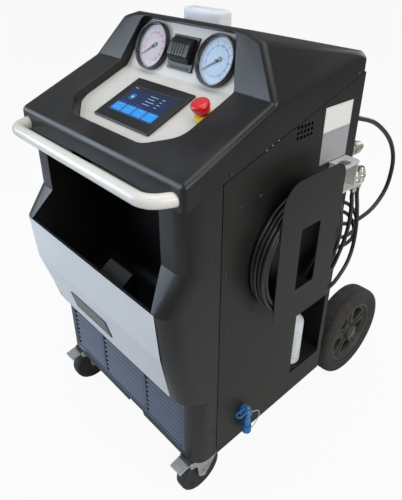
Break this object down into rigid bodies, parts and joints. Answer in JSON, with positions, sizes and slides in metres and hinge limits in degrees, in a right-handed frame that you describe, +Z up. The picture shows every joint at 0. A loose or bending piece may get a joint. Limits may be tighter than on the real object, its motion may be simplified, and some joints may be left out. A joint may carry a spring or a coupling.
{
  "type": "air-conditioning service station",
  "caption": "Wheeled service station for vehicle air conditioning, with gauges, touch screen, front tray, hose hanger and rear platform.",
  "frame": {"origin": "on the floor under the middle of the rigid pieces' box", "axes": "+Z up, -Y the front with the screen and the handle, +X the side with the hose hanger"},
  "size_m": [0.6492, 0.9172, 1.1157],
  "materials": {
    "black_moulding": "fine grained satin",
    "black_paint": "fine textured satin powder coat",
    "fascia_grey": "satin",
    "silver_sheet": "fine satin",
    "handle_paint": "satin",
    "gauge_black": "gloss",
    "dial_red": "printed dial",
    "dial_blue": "printed dial",
    "clear_glass": "clear",
    "screen_face": "gloss",
    "stop_red": "satin gloss",
    "stop_yellow": "satin",
    "paper": "plain thermal paper",
    "zinc": "bright zinc",
    "tyre_rubber": "matt",
    "hub_grey": "satin",
    "nickel": "satin nickel",
    "bracket_grey": "satin",
    "hose_black": "satin",
    "milky_plastic": "translucent satin",
    "white_plastic": "satin",
    "valve_blue": "satin",
    "brass": "satin",
    "motor_paint": "satin"
  },
  "bodies": {
    "cabinet": {"axle": "zinc", "base_tray": "black_paint", "bin_liner": "black_moulding", "bottle_cap": "white_plastic", "caster_left_plate": "zinc", "caster_right_plate": "zinc", "compressor": "motor_paint", "coupler_high": "nickel", "coupler_holder": "bracket_grey", "coupler_low": "nickel", "drain_valve": "brass", "faceplate": "fascia_grey", "front_grille": "black_moulding", "front_plate": "silver_sheet", "front_shell": "black_moulding", "gauge_case_left": "gauge_black", "gauge_case_right": "gauge_black", "gauge_dial_left": "dial_red", "gauge_dial_right": "dial_blue", "gauge_glass_left": "clear_glass", "gauge_glass_right": "clear_glass", "handle_bar": "handle_paint", "hood": "black_moulding", "hose_coil": "hose_black", "hose_hanger": "black_paint", "hose_lead_high": "hose_black", "hose_lead_low": "hose_black", "hose_tail_high": "hose_black", "hose_tail_low": "hose_black", "mains_inlet": "black_moulding", "oil_bottle": "milky_plastic", "paper_roll": "paper", "printer_body": "black_moulding", "rear_fitting": "nickel", "rear_hose": "hose_black", "rear_panel": "black_paint", "rear_platform": "black_paint", "screen_bezel": "black_moulding", "screen_glass": "screen_face", "side_panel_left": "black_paint", "side_panel_right": "black_paint", "stop_collar": "stop_yellow", "top_module": "white_plastic", "vacuum_pump": "motor_paint"},
    "caster_left_fork_body": {"caster_left_fork": "zinc"},
    "caster_right_fork_body": {"caster_right_fork": "zinc"},
    "caster_left_wheel_body": {"caster_left_wheel": "tyre_rubber"},
    "caster_right_wheel_body": {"caster_right_wheel": "tyre_rubber"},
    "caster_left_brake_body": {"caster_left_brake": "zinc"},
    "caster_right_brake_body": {"caster_right_brake": "zinc"},
    "wheel_left": {"wheel_left_tyre": "tyre_rubber", "wheel_left_hub": "hub_grey"},
    "wheel_right": {"wheel_right_tyre": "tyre_rubber", "wheel_right_hub": "hub_grey"},
    "stop": {"stop_button": "stop_red"},
    "door": {"printer_door": "black_moulding"},
    "pointer_left": {"gauge_pointer_left": "gauge_black"},
    "pointer_right": {"gauge_pointer_right": "gauge_black"},
    "lever": {"drain_lever": "valve_blue"},
    "rocker": {"power_rocker": "black_moulding"}
  },
  "joints": [
    {"name": "caster_left_swivel", "type": "hinge", "parent": "cabinet", "child": "caster_left_fork_body", "pos_m": [-0.28065, -0.297, 0.131], "axis": [0, 0, 1], "continuous": true},
    {"name": "caster_left_roll", "type": "hinge", "parent": "caster_left_fork_body", "child": "caster_left_wheel_body", "pos_m": [-0.28065, -0.335, 0.0625], "axis": [1, 0, 0], "continuous": true},
    {"name": "caster_left_brake_press", "type": "hinge", "parent": "caster_left_fork_body", "child": "caster_left_brake_body", "pos_m": [-0.28065, -0.371, 0.1235], "axis": [1, 0, 0], "range_deg": [0, 12]},
    {"name": "wheel_left_roll", "type": "hinge", "parent": "cabinet", "child": "wheel_left", "pos_m": [-0.28765, 0.309, 0.15], "axis": [1, 0, 0], "continuous": true},
    {"name": "caster_right_swivel", "type": "hinge", "parent": "cabinet", "child": "caster_right_fork_body", "pos_m": [0.23535, -0.297, 0.131], "axis": [0, 0, 1], "continuous": true},
    {"name": "caster_right_roll", "type": "hinge", "parent": "caster_right_fork_body", "child": "caster_right_wheel_body", "pos_m": [0.23535, -0.335, 0.0625], "axis": [1, 0, 0], "continuous": true},
    {"name": "caster_right_brake_press", "type": "hinge", "parent": "caster_right_fork_body", "child": "caster_right_brake_body", "pos_m": [0.23535, -0.371, 0.1235], "axis": [1, 0, 0], "range_deg": [0, 12]},
    {"name": "wheel_right_roll", "type": "hinge", "parent": "cabinet", "child": "wheel_right", "pos_m": [0.24235, 0.309, 0.15], "axis": [1, 0, 0], "continuous": true},
    {"name": "stop_press", "type": "slide", "parent": "cabinet", "child": "stop", "axis": [0, 0.3954, -0.9185], "range_m": [0, 0.005], "stiffness_N_per_m": 800},
    {"name": "printer_door_hinge", "type": "hinge", "parent": "cabinet", "child": "door", "pos_m": [-0.02265, -0.1358, 1.07923], "axis": [-1, 0, 0], "range_deg": [0, 80]},
    {"name": "pointer_left_turn", "type": "hinge", "parent": "cabinet", "child": "pointer_left", "pos_m": [-0.12865, -0.1439, 1.04846], "axis": [0, -0.9213, 0.3888], "range_deg": [-270, 0], "stiffness_Nm_per_rad": 0.0002},
    {"name": "pointer_right_turn", "type": "hinge", "parent": "cabinet", "child": "pointer_right", "pos_m": [0.08335, -0.1439, 1.04846], "axis": [0, -0.9213, 0.3888], "range_deg": [-270, 0], "stiffness_Nm_per_rad": 0.0002},
    {"name": "drain_lever_turn", "type": "hinge", "parent": "cabinet", "child": "lever", "pos_m": [0.29535, -0.219, 0.2438], "axis": [0, 0, 1], "range_deg": [0, 90]},
    {"name": "power_rocker_tilt", "type": "hinge", "parent": "cabinet", "child": "rocker", "pos_m": [-0.20365, 0.1175, 0.22], "axis": [1, 0, 0], "range_deg": [-8, 8]}
  ]
}
